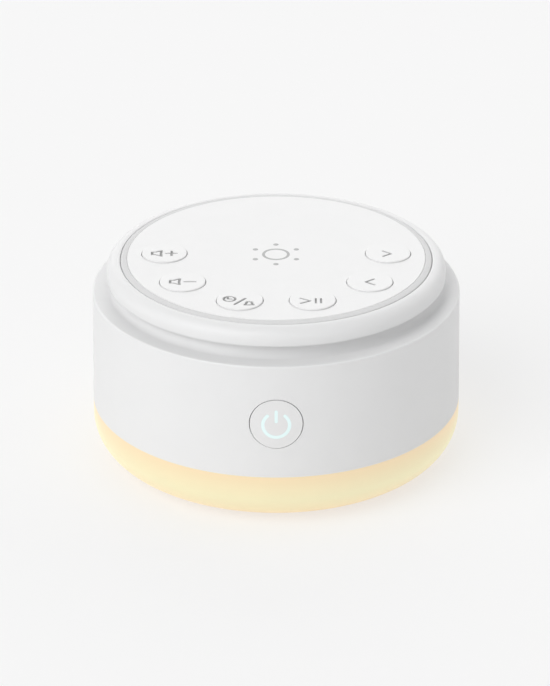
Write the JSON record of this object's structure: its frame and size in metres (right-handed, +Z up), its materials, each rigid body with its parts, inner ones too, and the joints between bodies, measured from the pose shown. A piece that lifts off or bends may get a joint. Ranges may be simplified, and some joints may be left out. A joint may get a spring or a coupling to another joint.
{
  "type": "white noise sound machine",
  "caption": "Round bedside sound machine with a glowing translucent base, a floating rounded collar, a flat control disc with sprung round keys and a power button in the wall.",
  "frame": {"origin": "on the floor under the middle of the machine, at the underside of its rubber feet", "axes": "+Z up; the power button faces -Y; the charging inlet faces +Y; +X is to the right as seen from the front"},
  "size_m": [0.1012, 0.1012, 0.0572],
  "materials": {
    "case_white": "fine satin moulding",
    "top_white": "fine satin moulding",
    "key_white": "satin key cap with an engraved sign",
    "cap_white": "satin cap, lit from behind",
    "diffuser": "translucent, lit warm from inside",
    "plate_white": "plain moulding",
    "inner_plastic": "plain moulding",
    "dark_plastic": "moulded housing",
    "clear_plastic": "clear light core",
    "led_white": "LED package",
    "circuit_board": "green solder mask",
    "white_board": "white solder mask",
    "screw_steel": "zinc-plated screw",
    "contact_brass": "gilt contact wire",
    "socket_steel": "drawn metal shell",
    "foam": "closed-cell foam",
    "basket_paint": "black-painted pressing",
    "roll_rubber": "soft butyl roll",
    "cone_paper": "coated paper",
    "coil_copper": "copper winding on a former",
    "spider_cloth": "resin-stiffened cloth",
    "pole_steel": "plated soft iron",
    "ferrite": "sintered ferrite",
    "cell_pouch": "laminate pouch",
    "foot_rubber": "moulded pad"
  },
  "bodies": {
    "machine": {"outer_shell": "case_white", "sound_ring": "case_white", "top_collar": "top_white", "control_disc": "top_white", "key_switches": "dark_plastic", "key_board": "circuit_board", "key_board_screws": "screw_steel", "touch_spring": "contact_brass", "collar_screws": "screw_steel", "speaker_baffle": "inner_plastic", "speaker_gasket": "foam", "speaker_basket": "basket_paint", "speaker_surround": "roll_rubber", "speaker_spider": "spider_cloth", "speaker_top_plate": "pole_steel", "speaker_magnet": "ferrite", "speaker_yoke": "pole_steel", "speaker_screws": "screw_steel", "chassis": "inner_plastic", "chassis_screws": "screw_steel", "battery_cell": "cell_pouch", "battery_pad": "foam", "main_board": "circuit_board", "board_components": "dark_plastic", "main_board_screws": "screw_steel", "usb_socket": "socket_steel", "power_switch": "dark_plastic", "power_board": "circuit_board", "power_leds": "led_white", "led_board": "white_board", "glow_leds": "led_white", "glow_base": "diffuser", "base_plate": "plate_white", "base_screws": "screw_steel", "feet": "foot_rubber"},
    "volume_up": {"volume_up_key": "key_white", "volume_up_plunger": "dark_plastic"},
    "volume_down": {"volume_down_key": "key_white", "volume_down_plunger": "dark_plastic"},
    "timer": {"timer_key": "key_white", "timer_plunger": "dark_plastic"},
    "play_pause": {"play_pause_key": "key_white", "play_pause_plunger": "dark_plastic"},
    "previous": {"previous_key": "key_white", "previous_plunger": "dark_plastic"},
    "next": {"next_key": "key_white", "next_plunger": "dark_plastic"},
    "power": {"power_button": "cap_white", "power_lens": "clear_plastic", "power_plunger": "dark_plastic"},
    "cone": {"voice_coil": "coil_copper", "speaker_cone": "cone_paper", "speaker_dust_cap": "cone_paper"}
  },
  "joints": [
    {"name": "volume_up_press", "type": "slide", "parent": "machine", "child": "volume_up", "axis": [0, 0, -1], "range_m": [0, 0.0005], "stiffness_N_per_m": 3200},
    {"name": "volume_down_press", "type": "slide", "parent": "machine", "child": "volume_down", "axis": [0, 0, -1], "range_m": [0, 0.0005], "stiffness_N_per_m": 3200},
    {"name": "timer_press", "type": "slide", "parent": "machine", "child": "timer", "axis": [0, 0, -1], "range_m": [0, 0.0005], "stiffness_N_per_m": 3200},
    {"name": "play_pause_press", "type": "slide", "parent": "machine", "child": "play_pause", "axis": [0, 0, -1], "range_m": [0, 0.0005], "stiffness_N_per_m": 3200},
    {"name": "previous_press", "type": "slide", "parent": "machine", "child": "previous", "axis": [0, 0, -1], "range_m": [0, 0.0005], "stiffness_N_per_m": 3200},
    {"name": "next_press", "type": "slide", "parent": "machine", "child": "next", "axis": [0, 0, -1], "range_m": [0, 0.0005], "stiffness_N_per_m": 3200},
    {"name": "power_press", "type": "slide", "parent": "machine", "child": "power", "axis": [0, 1, 0], "range_m": [0, 0.0005], "stiffness_N_per_m": 3200},
    {"name": "cone_stroke", "type": "slide", "parent": "machine", "child": "cone", "axis": [0, 0, 1], "range_m": [-0.0005, 0.0005], "stiffness_N_per_m": 1500, "deforming": ["speaker_surround", "speaker_spider"]}
  ]
}
